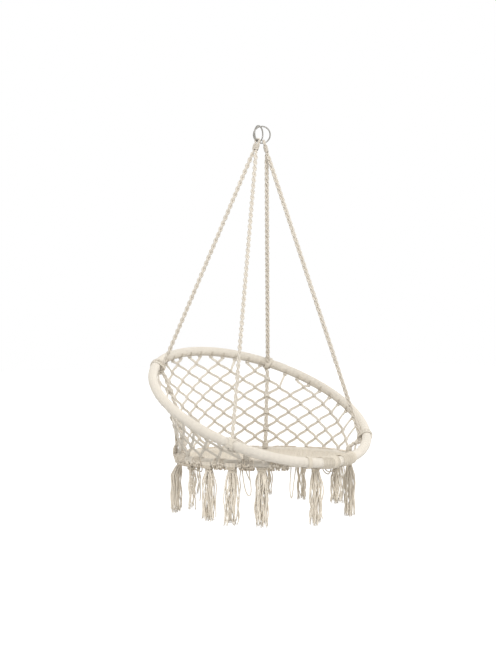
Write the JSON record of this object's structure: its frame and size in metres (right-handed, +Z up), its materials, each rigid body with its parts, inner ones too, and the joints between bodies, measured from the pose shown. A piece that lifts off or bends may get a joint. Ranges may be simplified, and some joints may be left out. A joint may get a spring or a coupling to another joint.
{
  "type": "saucer nest swing",
  "caption": "Hanging macrame chair: tilted wrapped hoop, knotted net and woven round seat on four ropes from steel rings, with tassels.",
  "frame": {"origin": "where the hook carries the two rings, midway between them", "axes": "+Z up, -Y to the open low front of the chair, +X to the sitter's left as they sit"},
  "size_m": [0.8338, 0.747, 1.3914],
  "materials": {
    "ring_steel": "brushed wire",
    "tube_steel": "bare tube under the wrap",
    "rope_cotton": "braided cotton",
    "wrap_cotton": "wound cotton cord",
    "net_cotton": "knotted and woven cotton cord",
    "tassel_cotton": "frayed cotton cords"
  },
  "bodies": {
    "rings": {"ring_large": "ring_steel", "ring_small": "ring_steel"},
    "chair": {"rope_right": "rope_cotton", "whipping_right": "rope_cotton", "rope_left": "rope_cotton", "whipping_left": "rope_cotton", "rim_hoop_tube": "tube_steel", "seat_hoop_tube": "tube_steel", "rim_wrap_01": "wrap_cotton", "rim_wrap_02": "wrap_cotton", "rim_wrap_03": "wrap_cotton", "rim_wrap_04": "wrap_cotton", "rim_wrap_05": "wrap_cotton", "rim_wrap_06": "wrap_cotton", "rim_wrap_07": "wrap_cotton", "rim_wrap_08": "wrap_cotton", "rim_wrap_09": "wrap_cotton", "rim_wrap_10": "wrap_cotton", "rim_wrap_11": "wrap_cotton", "rim_wrap_12": "wrap_cotton", "seat_wrap_01": "wrap_cotton", "seat_wrap_02": "wrap_cotton", "seat_wrap_03": "wrap_cotton", "seat_wrap_04": "wrap_cotton", "seat_wrap_05": "wrap_cotton", "seat_wrap_06": "wrap_cotton", "seat_wrap_07": "wrap_cotton", "seat_wrap_08": "wrap_cotton", "seat_wrap_09": "wrap_cotton", "seat_wrap_10": "wrap_cotton", "seat_wrap_11": "wrap_cotton", "seat_wrap_12": "wrap_cotton", "seat_mat": "net_cotton", "net_panel_1": "net_cotton", "net_panel_2": "net_cotton", "net_panel_3": "net_cotton", "net_panel_4": "net_cotton", "net_panel_5": "net_cotton", "net_panel_6": "net_cotton", "net_panel_7": "net_cotton", "net_panel_8": "net_cotton", "front_binding_1": "rope_cotton", "front_binding_2": "rope_cotton", "front_binding_3": "rope_cotton"},
    "tassel_01_body": {"tassel_01": "tassel_cotton"},
    "tassel_02_body": {"tassel_02": "tassel_cotton"},
    "tassel_03_body": {"tassel_03": "tassel_cotton"},
    "tassel_04_body": {"tassel_04": "tassel_cotton"},
    "tassel_05_body": {"tassel_05": "tassel_cotton"},
    "tassel_06_body": {"tassel_06": "tassel_cotton"},
    "tassel_07_body": {"tassel_07": "tassel_cotton"},
    "tassel_08_body": {"tassel_08": "tassel_cotton"},
    "tassel_09_body": {"tassel_09": "tassel_cotton"},
    "tassel_10_body": {"tassel_10": "tassel_cotton"},
    "tassel_11_body": {"tassel_11": "tassel_cotton"},
    "tassel_12_body": {"tassel_12": "tassel_cotton"},
    "tassel_13_body": {"tassel_13": "tassel_cotton"}
  },
  "joints": [
    {"name": "chair_swing", "type": "hinge", "parent": "rings", "child": "chair", "pos_m": [-0.00133, -0.00738, -0.05226], "axis": [0.9855, 0.1228, -0.117], "range_deg": [-20, 20]},
    {"name": "tassel_01_swing", "type": "hinge", "parent": "chair", "child": "tassel_01_body", "pos_m": [-0.02891, -0.32661, -1.1697], "axis": [0.9954, -0.0958, 0], "range_deg": [-15, 15]},
    {"name": "tassel_02_swing", "type": "hinge", "parent": "chair", "child": "tassel_02_body", "pos_m": [0.08315, -0.31652, -1.1697], "axis": [0.9613, 0.2756, 0], "range_deg": [-15, 15]},
    {"name": "tassel_03_swing", "type": "hinge", "parent": "chair", "child": "tassel_03_body", "pos_m": [0.22744, -0.22421, -1.1697], "axis": [0.6561, 0.7547, 0], "range_deg": [-15, 15]},
    {"name": "tassel_04_swing", "type": "hinge", "parent": "chair", "child": "tassel_04_body", "pos_m": [0.29376, -0.09434, -1.1697], "axis": [0.225, 0.9744, 0], "range_deg": [-15, 15]},
    {"name": "tassel_05_swing", "type": "hinge", "parent": "chair", "child": "tassel_05_body", "pos_m": [0.27986, 0.08657, -1.1697], "axis": [-0.3746, 0.9272, 0], "range_deg": [-15, 15]},
    {"name": "tassel_06_swing", "type": "hinge", "parent": "chair", "child": "tassel_06_body", "pos_m": [0.20167, 0.19746, -1.1697], "axis": [-0.7431, 0.6691, 0], "range_deg": [-15, 15]},
    {"name": "tassel_07_swing", "type": "hinge", "parent": "chair", "child": "tassel_07_body", "pos_m": [0.09811, 0.25843, -1.1697], "axis": [-0.9455, 0.3256, 0], "range_deg": [-15, 15]},
    {"name": "tassel_08_swing", "type": "hinge", "parent": "chair", "child": "tassel_08_body", "pos_m": [-0.08814, 0.26182, -1.1697], "axis": [-0.9563, -0.2924, 0], "range_deg": [-15, 15]},
    {"name": "tassel_09_swing", "type": "hinge", "parent": "chair", "child": "tassel_09_body", "pos_m": [-0.23091, 0.16724, -1.1697], "axis": [-0.6428, -0.766, 0], "range_deg": [-15, 15]},
    {"name": "tassel_10_swing", "type": "hinge", "parent": "chair", "child": "tassel_10_body", "pos_m": [-0.29787, 0.02066, -1.1697], "axis": [-0.1564, -0.9877, 0], "range_deg": [-15, 15]},
    {"name": "tassel_11_swing", "type": "hinge", "parent": "chair", "child": "tassel_11_body", "pos_m": [-0.29685, -0.07884, -1.1697], "axis": [0.1736, -0.9848, 0], "range_deg": [-15, 15]},
    {"name": "tassel_12_swing", "type": "hinge", "parent": "chair", "child": "tassel_12_body", "pos_m": [-0.26736, -0.16569, -1.1697], "axis": [0.4618, -0.887, 0], "range_deg": [-15, 15]},
    {"name": "tassel_13_swing", "type": "hinge", "parent": "chair", "child": "tassel_13_body", "pos_m": [-0.20365, -0.24873, -1.1697], "axis": [0.7373, -0.6756, 0], "range_deg": [-15, 15]}
  ]
}
